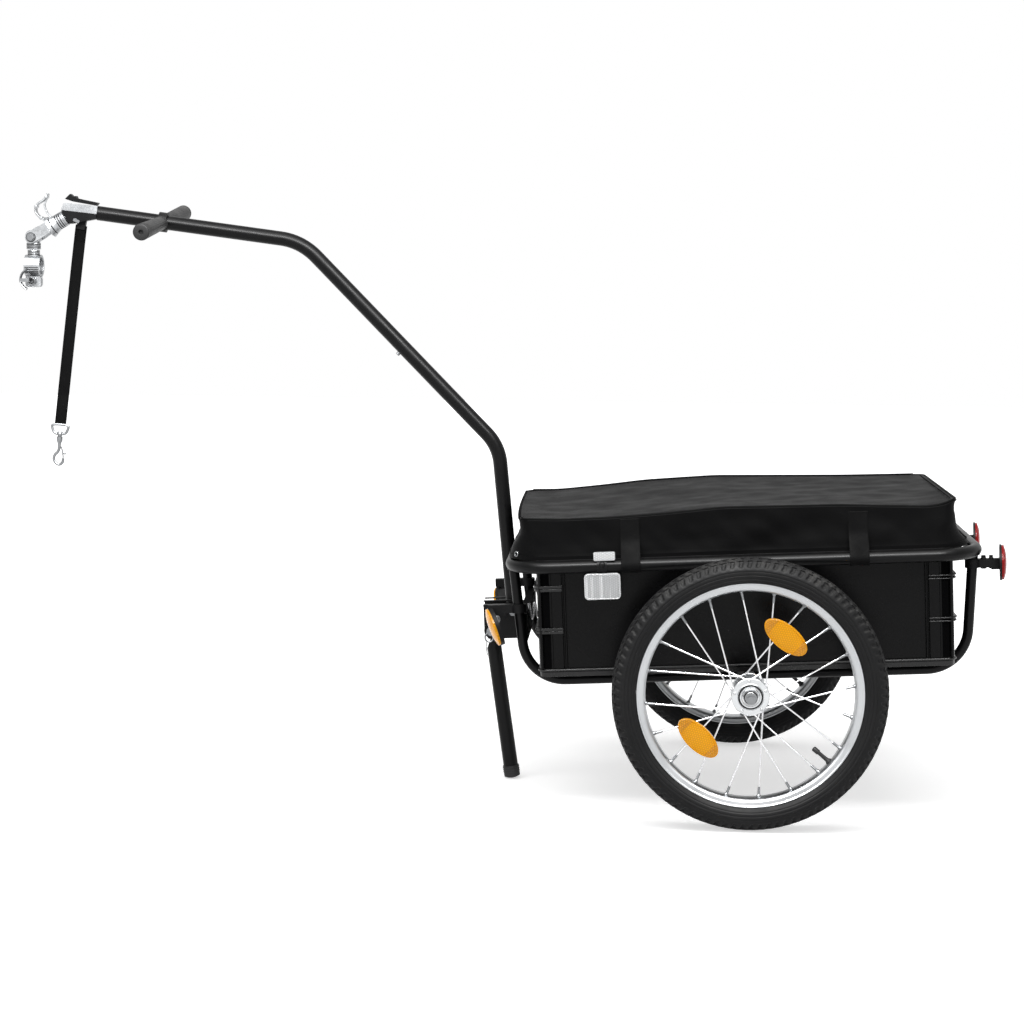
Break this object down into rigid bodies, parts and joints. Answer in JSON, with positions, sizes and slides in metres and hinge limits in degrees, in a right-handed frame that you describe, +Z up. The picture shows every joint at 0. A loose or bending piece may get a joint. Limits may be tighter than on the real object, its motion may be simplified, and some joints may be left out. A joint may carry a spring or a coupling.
{
  "type": "bicycle cargo trailer",
  "caption": "Bicycle cargo trailer with a covered box on spoked wheels, a cranked drawbar, a pivoting seat-post hitch, a safety strap and a folding parking leg",
  "frame": {"origin": "the middle of the parked trailer on the floor it stands on, below the centre of its length and width", "axes": "+X towards the rear, +Y towards the right wheel, +Z up"},
  "size_m": [1.4956, 0.68, 0.8992],
  "materials": {
    "black_steel": "smooth satin black powder coat",
    "handle_steel": "smooth satin black powder coat",
    "zinc_steel": "bright zinc plating",
    "hitch_alloy": "bright tumbled casting",
    "rim_alloy": "bright anodised",
    "hub_steel": "chrome plate",
    "spoke_steel": "bright drawn wire",
    "tyre_black": "matt black tread rubber",
    "valve_rubber": "matt black rubber",
    "box_plastic": "fine-grained black moulding",
    "black_plastic": "matt black moulding",
    "grip_rubber": "matt black rubber",
    "cover_fabric": "tightly woven black cloth",
    "webbing": "black woven webbing",
    "amber_lens": "clear amber prismatic lens",
    "red_lens": "clear red prismatic lens",
    "clear_lens": "clear prismatic lens"
  },
  "bodies": {
    "chassis": {"axle_beam": "black_steel", "axle_nuts": "zinc_steel", "box_floor": "box_plastic", "box_front_end": "box_plastic", "box_left_side": "box_plastic", "box_rear_end": "box_plastic", "box_right_side": "box_plastic", "cargo_cover": "cover_fabric", "coupler_boot": "black_plastic", "coupler_latch": "black_plastic", "coupler_sleeve": "hitch_alloy", "cover_straps": "webbing", "drawbar_bracket": "black_steel", "drawbar_button": "zinc_steel", "drawbar_pin": "zinc_steel", "floor_crossbars": "black_steel", "front_brackets": "black_plastic", "front_crossbar": "black_steel", "front_reflectors": "amber_lens", "handle_bar": "handle_steel", "handle_collar": "black_plastic", "left_axle": "zinc_steel", "left_grip": "grip_rubber", "left_hoop": "black_steel", "lower_drawbar": "black_steel", "rear_brackets": "black_plastic", "rear_reflectors": "red_lens", "right_axle": "zinc_steel", "right_grip": "grip_rubber", "right_hoop": "black_steel", "ring_frame": "black_steel", "side_reflector_clips": "black_plastic", "side_reflectors": "clear_lens", "snap_hook": "hitch_alloy", "stand_pins": "zinc_steel", "tether_anchor": "black_plastic", "tether_strap": "webbing", "upper_drawbar": "black_steel"},
    "left_wheel": {"left_tyre": "tyre_black", "left_rim": "rim_alloy", "left_hub": "hub_steel", "left_spokes": "spoke_steel", "left_valve": "valve_rubber", "left_spoke_reflectors": "amber_lens"},
    "right_wheel": {"right_tyre": "tyre_black", "right_rim": "rim_alloy", "right_hub": "hub_steel", "right_spokes": "spoke_steel", "right_valve": "valve_rubber", "right_spoke_reflectors": "amber_lens"},
    "stand": {"stand_leg": "black_plastic", "stand_foot": "grip_rubber"},
    "hitch_head": {"hitch_barrel": "hitch_alloy", "hitch_guard": "hitch_alloy", "hitch_pin": "zinc_steel"},
    "hitch_knuckle": {"hitch_knuckle": "hitch_alloy"},
    "seat_clamp": {"seat_post_clamp": "hitch_alloy", "clamp_bolt": "zinc_steel", "clamp_lever": "hitch_alloy"}
  },
  "joints": [
    {"name": "left_wheel_spin", "type": "hinge", "parent": "chassis", "child": "left_wheel", "pos_m": [0.37397, -0.299, 0.196], "axis": [0, 1, 0], "continuous": true},
    {"name": "right_wheel_spin", "type": "hinge", "parent": "chassis", "child": "right_wheel", "pos_m": [0.37397, 0.299, 0.196], "axis": [0, 1, 0], "continuous": true},
    {"name": "stand_fold", "type": "hinge", "parent": "chassis", "child": "stand", "pos_m": [-0.01212, 0, 0.23273], "axis": [0, 1, 0], "range_deg": [0, 95]},
    {"name": "hitch_roll", "type": "hinge", "parent": "chassis", "child": "hitch_head", "pos_m": [-0.67165, 0, 0.86055], "axis": [-0.8584, 0, -0.5131], "range_deg": [-45, 45]},
    {"name": "hitch_pitch", "type": "hinge", "parent": "hitch_head", "child": "hitch_knuckle", "pos_m": [-0.72401, 0, 0.82925], "axis": [0, 1, 0], "range_deg": [-15, 100]},
    {"name": "hitch_swivel", "type": "hinge", "parent": "hitch_knuckle", "child": "seat_clamp", "pos_m": [-0.72401, 0, 0.82925], "axis": [0, 0, 1], "range_deg": [-60, 60]}
  ]
}
